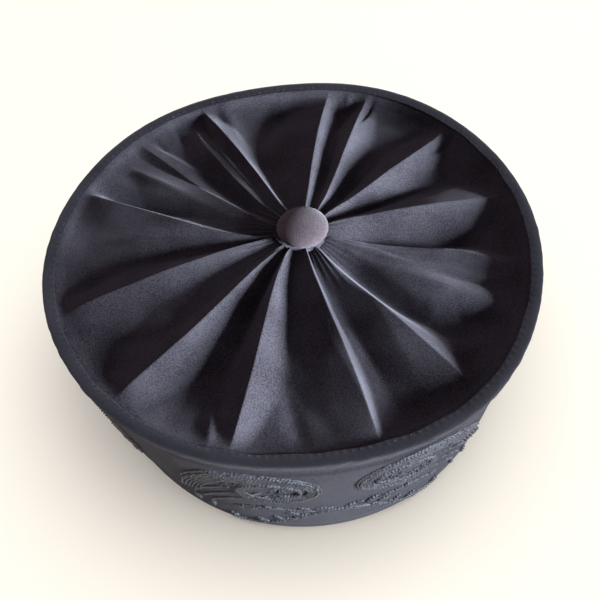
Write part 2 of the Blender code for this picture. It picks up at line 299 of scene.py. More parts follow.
def woven_cloth(name, dark, lit, thread, sheen):
    """Wool twill: fine threads both ways, a diagonal rib, slight fuzz and mottling."""
    material = bpy.data.materials.new(name)
    material.use_nodes = True
    nodes, links = material.node_tree.nodes, material.node_tree.links
    shader = nodes["Principled BSDF"]
    shader.inputs["Specular IOR Level"].default_value = 0.06
    shader.inputs["Sheen Weight"].default_value = sheen
    shader.inputs["Sheen Roughness"].default_value = 0.45
    shader.inputs["Sheen Tint"].default_value = (0.86, 0.88, 1.0, 1)

    places = nodes.new("ShaderNodeTexCoord")
    ribs = []
    for turn, length in ((0.0, thread), (90.0, thread), (52.0, thread * 1.4)):
        lay = nodes.new("ShaderNodeMapping")
        lay.inputs["Rotation"].default_value = (0, 0, math.radians(turn))
        links.new(places.outputs["UV"], lay.inputs["Vector"])
        rib = nodes.new("ShaderNodeTexWave")
        rib.wave_profile = "SIN"
        rib.inputs["Scale"].default_value = 0.314 / length
        rib.inputs["Distortion"].default_value = 0.8
        rib.inputs["Detail"].default_value = 1.0
        rib.inputs["Detail Scale"].default_value = 1.5
        links.new(lay.outputs["Vector"], rib.inputs["Vector"])
        ribs.append(rib)

    crossing = nodes.new("ShaderNodeMath")
    crossing.operation = "MULTIPLY"
    links.new(ribs[0].outputs["Fac"], crossing.inputs[0])
    links.new(ribs[1].outputs["Fac"], crossing.inputs[1])
    twill = nodes.new("ShaderNodeMath")
    twill.operation = "MULTIPLY_ADD"
    twill.inputs[1].default_value = 0.35
    links.new(ribs[2].outputs["Fac"], twill.inputs[0])
    links.new(crossing.outputs["Value"], twill.inputs[2])

    fuzz = nodes.new("ShaderNodeTexNoise")
    fuzz.inputs["Scale"].default_value = 1800.0
    fuzz.inputs["Detail"].default_value = 3.0
    links.new(places.outputs["Object"], fuzz.inputs["Vector"])
    surface = nodes.new("ShaderNodeMath")
    surface.operation = "MULTIPLY_ADD"
    surface.inputs[1].default_value = 2.2
    links.new(fuzz.outputs["Fac"], surface.inputs[0])
    links.new(twill.outputs["Value"], surface.inputs[2])

    patches = nodes.new("ShaderNodeTexNoise")
    patches.inputs["Scale"].default_value = 46.0
    patches.inputs["Detail"].default_value = 4.0
    links.new(places.outputs["Object"], patches.inputs["Vector"])
    blend = nodes.new("ShaderNodeMath")
    blend.operation = "MULTIPLY_ADD"
    blend.inputs[1].default_value = 0.55
    links.new(fuzz.outputs["Fac"], blend.inputs[0])
    half = nodes.new("ShaderNodeMath")
    half.operation = "MULTIPLY"
    half.inputs[1].default_value = 0.45
    links.new(patches.outputs["Fac"], half.inputs[0])
    links.new(half.outputs["Value"], blend.inputs[2])
    shades = nodes.new("ShaderNodeValToRGB")
    shades.color_ramp.elements[0].position = 0.37
    shades.color_ramp.elements[0].color = dark
    shades.color_ramp.elements[1].position = 0.65
    shades.color_ramp.elements[1].color = lit
    links.new(blend.outputs["Value"], shades.inputs["Fac"])
    links.new(shades.outputs["Color"], shader.inputs["Base Color"])

    dull = nodes.new("ShaderNodeMapRange")
    dull.inputs["To Min"].default_value = 0.82
    dull.inputs["To Max"].default_value = 0.96
    links.new(patches.outputs["Fac"], dull.inputs["Value"])
    links.new(dull.outputs["Result"], shader.inputs["Roughness"])

    raised = nodes.new("ShaderNodeBump")
    raised.inputs["Strength"].default_value = 0.5
    raised.inputs["Distance"].default_value = WEAVE_RELIEF
    links.new(surface.outputs["Value"], raised.inputs["Height"])
    links.new(raised.outputs["Normal"], shader.inputs["Normal"])
    return material


side_band, around, section = cloth_grid("side_band_cloth", BAND_COLUMNS, len(BAND_SECTION))
band_angle = around * 2 * math.pi
band_row = np.rint(section * len(BAND_SECTION)).astype(int) % len(BAND_SECTION)
band_depth, band_height = np.array(BAND_SECTION)[band_row].T
lay_threads(side_band, band_angle * RIM_RADIUS, section * BAND_STRIP)
seam_run = from_seam(band_angle)
seam_dip = BAND_SEAM_DEPTH * (np.exp(-(seam_run / SEAM_GROOVE) ** 2)
                              - 0.5 * np.exp(-(seam_run / SEAM_ROLL) ** 2))
outside = np.clip(1 - band_depth / (0.5 * MM), 0, 1)
free = np.clip(band_height / (12 * MM), 0, 1) * np.clip((BAND_TOP - band_height) / (9 * MM), 0, 1)
sway = BAND_DRIFT * drift(band_angle * RIM_RADIUS, band_height, BAND_DRIFT_LENGTH, 3) * free
band_radius = wall_radius(band_angle, band_height) - band_depth + sway
band_radius += outside * stitched_swell(band_angle, band_height)
band_radius -= outside * np.clip(band_height / (3 * MM), 0, 1) * seam_dip
close_cloth(side_band, band_radius * np.cos(band_angle), band_radius * np.sin(band_angle),
            band_height)
side_band.data.materials.append(woven_cloth("band_wool", WOOL_BLACK, WOOL_LIT, THREAD_PITCH,
                                            WOOL_SHEEN))
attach(side_band, "root")
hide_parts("side_band")


# Hem stitching
# One row of plain stitches in dull black sewing thread, round the inside of the
# cap, that holds the turned-in edge of the band down.
HEM_STITCH_COUNT = 168
HEM_STITCH_HEIGHT = 8.6 * MM
HEM_STITCH_LENGTH, HEM_STITCH_THICK = 1.8 * MM, 0.4 * MM
SEWING_BLACK = (0.013, 0.013, 0.017, 1)
SEWING_LIT = (0.060, 0.062, 0.074, 1)


def spun_thread(name, dark, lit, roughness, glint):
    """Thread of many fine strands: a satin one shines, a sewing one is duller."""
    material = bpy.data.materials.new(name)
    material.use_nodes = True
    nodes, links = material.node_tree.nodes, material.node_tree.links
    shader = nodes["Principled BSDF"]
    shader.inputs["Specular IOR Level"].default_value = glint
    shader.inputs["Sheen Weight"].default_value = 0.08
    places = nodes.new("ShaderNodeTexCoord")
    strands = nodes.new("ShaderNodeTexNoise")
    strands.inputs["Scale"].default_value = 900.0
    strands.inputs["Detail"].default_value = 3.0
    links.new(places.outputs["Object"], strands.inputs["Vector"])
    shades = nodes.new("ShaderNodeValToRGB")
    shades.color_ramp.elements[0].position = 0.35
    shades.color_ramp.elements[0].color = dark
    shades.color_ramp.elements[1].position = 0.70
    shades.color_ramp.elements[1].color = lit
    links.new(strands.outputs["Fac"], shades.inputs["Fac"])
    links.new(shades.outputs["Color"], shader.inputs["Base Color"])
    gloss = nodes.new("ShaderNodeMapRange")
    gloss.inputs["To Min"].default_value = roughness[0]
    gloss.inputs["To Max"].default_value = roughness[1]
    links.new(strands.outputs["Fac"], gloss.inputs["Value"])
    links.new(gloss.outputs["Result"], shader.inputs["Roughness"])
    raised = nodes.new("ShaderNodeBump")
    raised.inputs["Strength"].default_value = 0.5
    raised.inputs["Distance"].default_value = 0.12 * MM
    links.new(strands.outputs["Fac"], raised.inputs["Height"])
    links.new(raised.outputs["Normal"], shader.inputs["Normal"])
    return material


def sewn_piece(name, corners, faces, thread):
    """One object from threads' corners and faces."""
    mesh = bpy.data.meshes.new(name)
    mesh.from_pydata(corners.tolist(), [], faces)
    piece = bpy.data.objects.new(name, mesh)
    bpy.context.collection.objects.link(piece)
    bpy.ops.object.select_all(action="DESELECT")
    piece.select_set(True)
    bpy.context.view_layer.objects.active = piece
    bpy.ops.object.mode_set(mode="EDIT")
    bpy.ops.mesh.select_all(action="SELECT")
    bpy.ops.mesh.normals_make_consistent(inside=False)
    bpy.ops.object.mode_set(mode="OBJECT")
    bpy.ops.object.shade_smooth()
    piece.data.materials.append(thread)
    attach(piece, "root")
    return piece


def lay_stitches(name, places, ways, length, thick, seed, thread):
    """Short threads that arch out of the cloth: middles, ways along and way out."""
    chance = np.random.RandomState(seed)
    along, out = ways
    across = np.cross(along, out)
    count = len(places)
    long = length * chance.uniform(0.5, 1.25, count)
    high = thick * chance.uniform(0.5, 1.3, count)
    lean = chance.uniform(-0.14, 0.14, count)
    along = along + across * lean[:, None]
    rings = []
    for reach, rise, wide in ((-0.5, -0.7, 0.5), (-0.3, 0.35, 0.9), (0.0, 0.6, 1.0),
                              (0.3, 0.35, 0.9), (0.5, -0.7, 0.5)):
        middle = places + along * (long * reach)[:, None] + out * (high * rise)[:, None]
        for corner in range(6):
            turn = corner * math.pi / 3
            rings.append(middle + across * (high * wide * 0.5 * math.cos(turn))[:, None]
                         + out * (high * wide * 0.5 * math.sin(turn))[:, None])
    corners = np.stack(rings, axis=1).reshape(-1, 3)
    faces = []
    for first in range(0, count * 30, 30):
        for row in range(4):
            a, b = first + row * 6, first + row * 6 + 6
            faces += [(a + j, a + (j + 1) % 6, b + (j + 1) % 6, b + j) for j in range(6)]
        faces += [tuple(range(first, first + 6)), tuple(range(first + 24, first + 30))]
    return sewn_piece(name, corners, faces, thread)


sewing_thread = spun_thread("sewing_thread", SEWING_BLACK, SEWING_LIT, (0.50, 0.75), 0.15)

hem_angle = (np.arange(HEM_STITCH_COUNT) + 0.5) * 2 * math.pi / HEM_STITCH_COUNT
hem_radius = wall_radius(hem_angle, HEM_STITCH_HEIGHT) - HEM_WALL
hem_out = np.stack([-np.cos(hem_angle), -np.sin(hem_angle), 0 * hem_angle], axis=1)
hem_way = np.stack([-np.sin(hem_angle), np.cos(hem_angle), 0 * hem_angle], axis=1)
hem_place = np.stack([hem_radius * np.cos(hem_angle), hem_radius * np.sin(hem_angle),
                      0 * hem_angle + HEM_STITCH_HEIGHT], axis=1)
lay_stitches("hem_stitches", hem_place, (hem_way, hem_out), HEM_STITCH_LENGTH, HEM_STITCH_THICK,
             22, sewing_thread)


# Embroidery
# Raised satin stitching in glossy black thread on the band, the same motif four
# times round: two mirrored scrolls and a leafy stem that joins them below.
# The motif is drawn in mm, along and up the band from its middle.
TAIL = ((66.0, 23.0), (63.5, 33.0), (59.5, 42.5), (54.0, 51.0))
SPIRAL_MIDDLE = (21.0, 46.5)
SPIRAL_START = 45.0
SPIRAL_TURNS = 1.7
SPIRAL_WIDE = (26.0, 5.0)
SPIRAL_TALL = (16.0, 3.0)
SPIRAL_LEAN = 8.0
SPIRAL_STEPS = 60
STEM_HALF = 47.0
STEM_LEVEL = 14.5
STEM_SWING = 9.5
STEM_WAVES = 0.575
# The thread's strands vary at random between these two colours, which is real strand tone. The
# lighter colour is also set well above black thread as a painted highlight, standing in for glints
# on the stitches.
SATIN_BLACK = (0.020, 0.021, 0.027, 1)
SATIN_PAINTED_GLINT = (0.130, 0.138, 0.165, 1)
THREAD_SEED = 40
THREAD_STEP = 0.31
THREAD_SLANT = 0.45
THREAD_RIPPLE = 0.13
BEAD_PITCH = 1.35
BEAD_RISE = 0.30
COLUMN_TAPER = 2.5
# Width and height in mm of the threads that no table gives.
STROKE_SIZE = (0.9, 0.7)
FILL_STITCH = (0.6, 0.5)
STEM_SIZE = (1.2, 0.9)
BRANCH_SIZE = (0.9, 0.7)
LEAF_RISE = 1.0
# Across a satin column: share of its half width against share of its height.
COLUMN_SECTION = ((-1.0, -0.3), (-0.78, 0.6), (-0.3, 1.0), (0.3, 1.0), (0.78, 0.6), (1.0, -0.3))
LEAF_SECTION = ((-1.0, -0.3), (-0.75, 0.7), (-0.38, 1.0), (0.0, 0.35), (0.38, 1.0),
                (0.75, 0.7), (1.0, -0.3))
# A scroll's columns: offset to the inner side in mm, shares of the route where
# they start and end, width and height in mm.
SCROLL_COLUMNS = (
    (-1.7, 0.09, 0.62, 0.8, 0.60),
    (0.0, 0.00, 1.00, 1.4, 1.00),
    (1.9, 0.02, 0.93, 1.0, 0.80),
    (3.5, 0.03, 0.80, 0.9, 0.75),
    (5.0, 0.04, 0.66, 0.9, 0.70),
    (6.5, 0.05, 0.50, 0.8, 0.65),
    (8.0, 0.06, 0.36, 0.8, 0.60),
)
# Long stitches that fill the scroll's tail: their points along and up in mm.
TAIL_STROKES = (
    ((61.0, 21.0), (56.5, 31.0), (50.5, 39.0), (43.0, 44.5)),
    ((57.0, 20.0), (52.0, 29.0), (46.5, 35.5), (40.0, 40.0)),
    ((53.0, 19.5), (48.5, 26.5), (43.5, 31.5), (37.5, 35.0)),
)
# Leaves on one half of the stem: place along and up, direction, length and width.
# Each bows upwards by LEAF_BOW, in radians.
LEAF_BOW = 0.15
STEM_LEAVES = (
    (1.5, 25.6, 6, 9.0, 3.0), (11.0, 25.0, 38, 7.0, 2.6), (12.0, 21.0, -36, 8.0, 3.0),
    (15.5, 20.5, 24, 6.5, 2.4), (18.0, 15.5, -22, 7.0, 2.6), (22.5, 13.0, 48, 6.0, 2.2),
    (28.5, 8.5, 34, 6.5, 2.2), (26.0, 26.5, 34, 5.0, 1.8), (31.0, 27.5, -38, 6.0, 2.2),
    (37.0, 26.5, -52, 5.5, 2.0), (42.0, 7.5, 40, 5.0, 1.9), (58.0, 15.0, 62, 6.0, 2.2),
    (52.0, 14.0, 78, 5.0, 2.0),
)
FILL_COUNT = 90
FILL_SPREAD = 0.75
STEM_BRANCH = ((9.0, 23.5), (17.0, 26.0), (26.0, 27.5), (35.0, 27.0), (43.0, 23.0))


def smooth_route(points):
    """Evenly spaced points on a smooth line through the given ones, in mm."""
    points = np.array(points, dtype=float)
    ends = np.vstack([2 * points[0] - points[1], points, 2 * points[-1] - points[-2]])
    pieces = []
    for i in range(len(points) - 1):
        before, start, end, after = ends[i:i + 4]
        t = np.linspace(0, 1, 12, endpoint=False)[:, None]
        pieces.append(0.5 * (2 * start + (end - before) * t
                             + (2 * before - 5 * start + 4 * end - after) * t ** 2
                             + (3 * start - before - 3 * end + after) * t ** 3))
    line = np.vstack(pieces + [points[-1:]])
    length = np.concatenate([[0], np.cumsum(np.hypot(*np.diff(line, axis=0).T))])
    places = np.arange(0, length[-1], THREAD_STEP)
    return np.stack([np.interp(places, length, line[:, 0]),
                     np.interp(places, length, line[:, 1])], axis=1)


def beside(route, offset):
    """A route moved sideways, closing in again towards its inner end."""
    run = np.gradient(route, axis=0)
    run /= np.hypot(*run.T)[:, None]
    fade = np.linspace(1, 0.35, len(route))[:, None]
    return route + np.stack([-run[:, 1], run[:, 0]], axis=1) * offset * fade


def satin(route, width, rise, section, pointed, chance):
    """One satin column as rings of corners: along and up the band, and outwards."""
    count = len(route)
    run = np.gradient(route, axis=0)
    run /= np.hypot(*run.T)[:, None]
    share = np.linspace(0, 1, count)
    if pointed:
        wide = np.sin(math.pi * share) ** 0.75
    else:
        from_end = np.minimum(share, 1 - share) * count * THREAD_STEP
        wide = np.minimum(1, from_end / COLUMN_TAPER + 0.12)
    wide = wide * (1 + chance.uniform(-0.07, 0.07, count)) * width / 2
    tall = rise * np.minimum(1, wide * 2.2 / width + 0.1)
    tall = tall * (1 + THREAD_RIPPLE * (-1.0) ** np.arange(count))
    beads = np.arange(count) * THREAD_STEP / BEAD_PITCH + chance.uniform(0, 1)
    tall = tall * (1 + BEAD_RISE * np.sin(2 * math.pi * beads))
    wide = wide * (1 + 0.5 * BEAD_RISE * np.sin(2 * math.pi * beads))
    tall = tall * (1 + chance.uniform(-0.08, 0.08, count))
    rings = []
    for across, out in section:
        sideways = wide * across
        place = route + np.stack([-run[:, 1], run[:, 0]], axis=1) * sideways[:, None]
        place = place + run * (sideways * THREAD_SLANT)[:, None]
        rings.append(np.column_stack([place, tall * out]))
    return np.stack(rings, axis=1)


def fill_stitches(route, count, spread, chance):
    """Short stitches scattered to the inner side of a route, roughly along it."""
    run = np.gradient(route, axis=0)
    run /= np.hypot(*run.T)[:, None]
    middle = route.mean(axis=0)
    stitches = []
    for place in chance.randint(int(0.08 * len(route)), int(0.75 * len(route)), count):
        inwards = middle - route[place]
        start = route[place] + inwards * chance.uniform(0, spread) + chance.uniform(-0.6, 0.6, 2)
        turn = math.atan2(run[place, 1], run[place, 0]) + chance.uniform(-0.5, 0.5)
        way = np.array((math.cos(turn), math.sin(turn)))
        line = smooth_route((start, start + way * chance.uniform(1.4, 3.2)))
        stitches.append(satin(line, *FILL_STITCH, COLUMN_SECTION, True, chance))
    return stitches


def stitch_on_band(name, columns, facing, nodes):
    """Turns satin columns into one piece of embroidery on the band."""
    corners, faces, first = [], [], 0
    for rings in columns:
        count, around = rings.shape[:2]
        along, up, out = rings.reshape(-1, 3).T * MM
        angle = math.radians(facing) + along / ((RIM_RADIUS + BASE_RADIUS) / 2)
        radius = wall_radius(angle, up) + stitched_swell(angle, up) + out + 0.1 * MM
        corners.append(np.stack([radius * np.cos(angle), radius * np.sin(angle), up], axis=1))
        for i in range(count - 1):
            a, b = first + i * around, first + (i + 1) * around
            faces += [(a + j, a + (j + 1) % around, b + (j + 1) % around, b + j)
                      for j in range(around)]
        faces.append(tuple(range(first, first + around)))
        faces.append(tuple(range(first + (count - 1) * around, first + count * around)))
        first += count * around
    piece = sewn_piece(name, np.vstack(corners), faces, satin_thread)
    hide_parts(*nodes)
    embroidery.append(piece)


# The satin thread's light strands are partly painted highlight.
satin_thread = spun_thread("satin_thread", SATIN_BLACK, SATIN_PAINTED_GLINT, (0.26, 0.50), 0.4)

scroll_line = list(TAIL)
for step in range(SPIRAL_STEPS + 1):
    t = step / SPIRAL_STEPS
    turn = math.radians(SPIRAL_START) + 2 * math.pi * SPIRAL_TURNS * t
    wide = SPIRAL_WIDE[0] + (SPIRAL_WIDE[1] - SPIRAL_WIDE[0]) * t ** 0.75
    tall = SPIRAL_TALL[0] + (SPIRAL_TALL[1] - SPIRAL_TALL[0]) * t ** 0.75
    scroll_line.append((SPIRAL_MIDDLE[0] + SPIRAL_LEAN * (1 - t) + wide * math.cos(turn),
                        SPIRAL_MIDDLE[1] + tall * math.sin(turn)))
scroll_line = smooth_route(scroll_line)
stem_line = smooth_route([
    (STEM_HALF * t, STEM_LEVEL + STEM_SWING * math.cos(2 * math.pi * STEM_WAVES * t))
    for t in np.linspace(-1, 1, 25)])

embroidery = []
for number, (side_name, facing) in enumerate(MOTIF_FACING):
    chance = np.random.RandomState(THREAD_SEED + number)
    for side, letter in ((-1, "a"), (1, "b")):
        columns = []
        for offset, begins, ends, width, rise in SCROLL_COLUMNS:
            line = beside(scroll_line, offset)
            line = line[int(begins * len(line)):int(ends * len(line))]
            columns.append(satin(line * (side, 1), width, rise, COLUMN_SECTION, False, chance))
        for stroke in TAIL_STROKES:
            line = smooth_route(stroke)
            columns.append(satin(line * (side, 1), *STROKE_SIZE, COLUMN_SECTION, True, chance))
        columns += fill_stitches(scroll_line * (side, 1), FILL_COUNT, FILL_SPREAD, chance)
        stitch_on_band("scroll_%s_%s_satin" % (side_name, letter), columns, facing,
                       ["scroll_%s_%s" % (side_name, letter)])
    columns = [satin(stem_line, *STEM_SIZE, COLUMN_SECTION, False, chance)]
    for side in (-1, 1):
        branch = smooth_route(STEM_BRANCH) * (side, 1)
        columns.append(satin(branch, *BRANCH_SIZE, COLUMN_SECTION, False, chance))
        for along, up, way, length, width in STEM_LEAVES:
            turn = math.radians(way)
            bow = turn + LEAF_BOW
            middle = (along + 0.5 * length * math.cos(bow), up + 0.5 * length * math.sin(bow))
            tip = (along + length * math.cos(turn), up + length * math.sin(turn))
            leaf = smooth_route(((along, up), middle, tip)) * (side, 1)
            columns.append(satin(leaf, width, LEAF_RISE, LEAF_SECTION, True, chance))
    stitch_on_band("stem_%s_satin" % side_name, columns, facing, ["stem_%s" % side_name])


# Crown
# The round top of the cap: one piece of the same wool, gathered in fourteen deep
# pleats to the middle, with its outer edge caught flat under the rim binding.
BUTTON_PLACE = (4.8 * MM, 2.4 * MM)
CROWN_EDGE_TOP = 72.0 * MM
CROWN_INSET = 1.5 * MM
CROWN_WALL = 1.2 * MM
PLEATS_END = 0.96
FLANK_HOLLOW = 1.08
# Shares of the radius between which the flanks narrow, and by how much.
FLANK_POINT = (0.62, 0.97, 0.62)
CREST_START = 0.09
CREST_ROUND = 0.3 * MM
GAP_COLUMNS = 42
CROWDING = 0.8
TOP_SHARES = np.concatenate([np.linspace(0.0, 0.06, 4), np.linspace(0.075, 0.97, 88),
                             [0.98, 0.99, 1.0]])
UNDER_SHARES = np.concatenate([[1.0, 0.98], np.linspace(0.96, 0.08, 24), [0.04, 0.0]])
# Each pleat's crest angle at the button, half way and at the rim, its rise in mm,
# the share of the gap its clockwise and counter-clockwise flanks take, and the
# share of the radius where it has flattened out.
PLEATS = np.array((
    (10, 11, 10, 7.5, 0.60, 0.55, 0.94),
    (29, 36, 38, 8.0, 0.35, 0.45, 0.96),
    (35, 61.5, 63.5, 7.5, 0.35, 0.60, 0.96),
    (73.5, 76.5, 75, 8.5, 0.60, 0.65, 0.96),
    (121, 114, 114, 7.5, 0.20, 0.65, 0.96),
    (138, 125.5, 118, 4.5, 0.85, 0.60, 0.90),
    (187, 141, 136, 5.0, 0.45, 0.80, 0.96),
    (221, 167, 157.5, 5.5, 0.25, 0.85, 0.96),
    (179, 196, 196.5, 6.5, 0.30, 0.80, 0.96),
    (203, 226.5, 223, 7.5, 0.60, 0.50, 0.96),
    (215, 251, 252.5, 8.0, 0.35, 0.30, 0.96),
    (264, 283.5, 284.5, 7.5, 0.65, 0.15, 0.96),
    (289, 309, 309.5, 4.5, 0.70, 0.15, 0.95),
    (309.5, 350.5, 345.5, 4.0, 0.70, 0.30, 0.93),
))
# Along the radius: how high the valleys lie over the crown's edge, in mm. They sag
# most towards VALLEY_TOWARD.
VALLEY = ((0.0, 1.0), (0.12, 0.3), (0.30, -2.0), (0.60, -3.8), (0.85, -4.0), (0.93, -2.2),
          (0.955, -0.6), (0.97, 0.0), (1.0, 0.0))
VALLEY_TILT = 0.75
VALLEY_MEAN = 1.00
VALLEY_TOWARD = 29.0
# Along the radius: the share of its rise that a pleat's crest has reached.
CREST = ((0.0, 0.0), (0.07, 0.08), (0.14, 0.42), (0.30, 0.80), (0.52, 1.00), (0.76, 0.88),
         (0.90, 0.58), (1.0, 0.0))
# Smaller folds and dimples: angle at their inner and outer end, shares of the
# radius where they start and end, height and half width in mm, and crispness.
SMALL_FOLDS = (
    (355, 356.5, 0.11, 0.83, -4.5, 4.5, 1.1),
    (18, 19, 0.12, 0.62, 0.8, 2.0, 1.2),
    (26.5, 26, 0.11, 0.93, -2.0, 6.0, 1.2),
    (35, 34.5, 0.76, 0.96, -2.0, 1.4, 2.0),
    (63, 61.5, 0.71, 0.96, -2.5, 2.2, 2.0),
    (69, 69, 0.89, 0.96, 0.7, 2.0, 1.6),
    (96, 95, 0.11, 0.93, -0.5, 6.0, 1.2),
    (96, 93.5, 0.55, 0.94, -1.5, 8.5, 1.2),
    (110, 107.5, 0.49, 0.96, 2.0, 4.0, 1.2),
    (110.5, 110, 0.85, 0.96, -0.7, 2.0, 2.0),
    (120, 115.5, 0.11, 0.89, -0.7, 6.0, 1.2),
    (124.5, 118.5, 0.21, 0.77, 2.5, 2.5, 1.2),
    (126.5, 124, 0.75, 0.96, -0.7, 2.0, 1.4),
    (133, 131, 0.79, 0.96, -0.5, 1.2, 1.4),
    (141, 139, 0.18, 0.95, -4.5, 5.0, 1.0),
    (147, 145, 0.48, 0.92, 1.0, 3.5, 2.0),
    (157, 155, 0.48, 0.96, -2.5, 3.5, 1.4),
    (159, 155, 0.26, 0.96, -3.5, 4.0, 1.1),
    (176.5, 173, 0.24, 0.96, -1.0, 3.0, 2.0),
    (182, 185, 0.20, 0.80, -0.6, 2.2, 1.4),
    (239, 239, 0.11, 0.91, 1.0, 6.0, 1.2),
    (242, 236, 0.42, 0.96, -1.0, 4.5, 1.1),
    (244, 248, 0.76, 0.96, 2.0, 4.5, 2.0),
    (261.5, 268.5, 0.62, 0.95, -1.5, 4.0, 1.6),
    (267, 269, 0.11, 0.96, -0.5, 6.0, 1.2),
    (292, 293, 0.11, 0.92, -2.5, 7.5, 1.2),
    (313.5, 320.5, 0.11, 0.84, -4.0, 4.0, 1.1),
    (317, 318, 0.11, 0.63, -1.5, 4.0, 1.2),
    (327.5, 334.5, 0.18, 0.96, 4.5, 5.0, 0.7),
    (338, 342, 0.18, 0.88, 1.0, 1.8, 1.2),
    (351, 352.5, 0.11, 0.61, -1.5, 3.5, 1.2),
)
CROWN_DRIFT, CROWN_DRIFT_LENGTH = 0.30 * MM, 30.0 * MM
GATHERS, GATHER_COUNT = 0.22 * MM, 61


def level_along(table, share):
    """A smooth curve through the rows of a table of levels."""
    rows = np.array(table)
    at, level = rows[:, 0], rows[:, 1]
    lean = np.empty(len(at))
    lean[1:-1] = (level[2:] - level[:-2]) / (at[2:] - at[:-2])
    lean[0] = (level[1] - level[0]) / (at[1] - at[0])
    lean[-1] = (level[-1] - level[-2]) / (at[-1] - at[-2])
    i = np.clip(np.searchsorted(at, share) - 1, 0, len(at) - 2)
    span = at[i + 1] - at[i]
    t = (share - at[i]) / span
    start = (1 + 2 * t) * (1 - t) ** 2 * level[i] + t * (1 - t) ** 2 * span * lean[i]
    end = t * t * (3 - 2 * t) * level[i + 1] - t * t * (1 - t) * span * lean[i + 1]
    return start + end


def crest_angle(pleat, share):
    """Where a pleat's crest lies at a share of the radius, in degrees."""
    hub, mid, rim = pleat[:3]
    run = np.sqrt(np.maximum(share, CREST_START))
    half = math.sqrt(0.5)
    inner = hub * (run - half) * (run - 1) / half
    middle = mid * run * (1 - run) / (half * (1 - half))
    outer = rim * run * (run - half) / (1 - half)
    return inner + middle + outer


def crest_rise(pleat, share):
    """How far a pleat's crest stands over the valleys."""
    stretched = np.minimum(1.0, share / min(pleat[6], PLEATS_END))
    return pleat[3] * MM * level_along(CREST, stretched)


def flank(run, width):
    """A pleat's side: 1 at the rounded crest, hollow, and 0 past its width."""
    soft = np.hypot(run, CREST_ROUND) - CREST_ROUND
    return np.clip(1 - soft / np.maximum(width, 0.1 * MM), 0, 1) ** FLANK_HOLLOW


def crown_surface(column, share):
    """Angle and height of the crown's top at a column and a share of the radius."""
    gap = (column // GAP_COLUMNS) % len(PLEATS)
    step = (column % GAP_COLUMNS) / GAP_COLUMNS
    place = step - CROWDING * np.sin(2 * math.pi * step) / (2 * math.pi)
    angle = np.zeros(share.shape)
    lift = np.zeros(share.shape)
    for number, pleat in enumerate(PLEATS):
        after = PLEATS[(number + 1) % len(PLEATS)]
        here = gap == number
        at = share[here]
        start = crest_angle(pleat, at)
        wide = (crest_angle(after, at) - start) % 360
        arc = np.radians(wide) * RIM_RADIUS * at
        foot = arc * (1 - FLANK_POINT[2] * ramp(at, *FLANK_POINT[:2]))
        falls = crest_rise(pleat, at) * flank(place[here] * arc, pleat[5] * foot)
        rises = crest_rise(after, at) * flank((1 - place[here]) * arc, after[4] * foot)
        angle[here] = start + wide * place[here]
        lift[here] = falls + rises
    tilt = VALLEY_MEAN + VALLEY_TILT * np.cos(np.radians(angle - VALLEY_TOWARD))
    tilt = 1 + (tilt - 1) * ramp(share, 0.06, 0.30)
    height = CROWN_EDGE_TOP + level_along(VALLEY, share) * MM * tilt + lift

    for inner, outer, begins, ends, rise, wide, crisp in SMALL_FOLDS:
        t = np.clip((share - begins) / (ends - begins), 0, 1)
        middle = inner + (outer - inner) * t
        off = ((angle - middle + 180) % 360 - 180) * math.pi / 180 * RIM_RADIUS * share
        along = np.sin(math.pi * t ** 1.4) ** 0.8
        across = np.clip(1 - np.abs(off) / (wide * MM * 1.6), 0, 1) ** crisp
        height += rise * MM * along * across

    turn = np.radians(angle)
    x, y = np.cos(turn) * share, np.sin(turn) * share
    loose = np.clip((PLEATS_END - share) / 0.12, 0, 1) * np.clip(share / 0.15, 0, 1)
    height += CROWN_DRIFT * loose * drift(x * RIM_RADIUS, y * RIM_RADIUS, CROWN_DRIFT_LENGTH, 11)
    near = np.clip((share - 0.07) / 0.05, 0, 1) * np.clip((0.34 - share) / 0.22, 0, 1)
    height += GATHERS * near * np.sin(turn * GATHER_COUNT + 2.0 * np.sin(turn * 7))
    return angle, height


crown_shares = np.concatenate([TOP_SHARES, UNDER_SHARES])
crown_columns = GAP_COLUMNS * len(PLEATS)
crown, around, strip = cloth_grid("crown_cloth", crown_columns, len(crown_shares) - 1)
column = np.rint(around * crown_columns).astype(int) % crown_columns
row = np.rint(strip * (len(crown_shares) - 1)).astype(int)
share = crown_shares[row]
angle, height = crown_surface(column, share)
ahead = crown_surface((column + 1) % crown_columns, share)
behind = crown_surface((column - 1) % crown_columns, share)
run = np.radians((ahead[0] - behind[0]) % 360) * RIM_RADIUS * share
slope = np.minimum(np.abs(ahead[1] - behind[1]) / np.maximum(run, 0.2 * MM), 2.0)
under = row >= len(TOP_SHARES)
height = np.where(under, height - CROWN_WALL * np.sqrt(1 + slope * slope), height)
turn = np.radians(angle)
reach = (rim_radius(turn) - CROWN_INSET) * share
crown_x = BUTTON_PLACE[0] * (1 - share) + reach * np.cos(turn)
crown_y = BUTTON_PLACE[1] * (1 - share) + reach * np.sin(turn)
lay_threads(crown, crown_x, crown_y)
close_cloth(crown, crown_x, crown_y, height)
crown_wool = woven_cloth("crown_wool", WOOL_BLACK, WOOL_LIT, THREAD_PITCH, WOOL_SHEEN)
crown.data.materials.append(crown_wool)
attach(crown, "root")
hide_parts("crown")


# Crown seam
# The one seam that shows on the crown, near the rim at the back: small stitches
# in the wool's own thread, drawn into the cloth along a line to the button.
CROWN_SEAM_FROM, CROWN_SEAM_TO = 0.76, 0.955
CROWN_SEAM_COUNT = 22
CROWN_SEAM_AT = 90.5
SEAM_STITCH_LENGTH, SEAM_STITCH_THICK = 1.3 * MM, 0.20 * MM

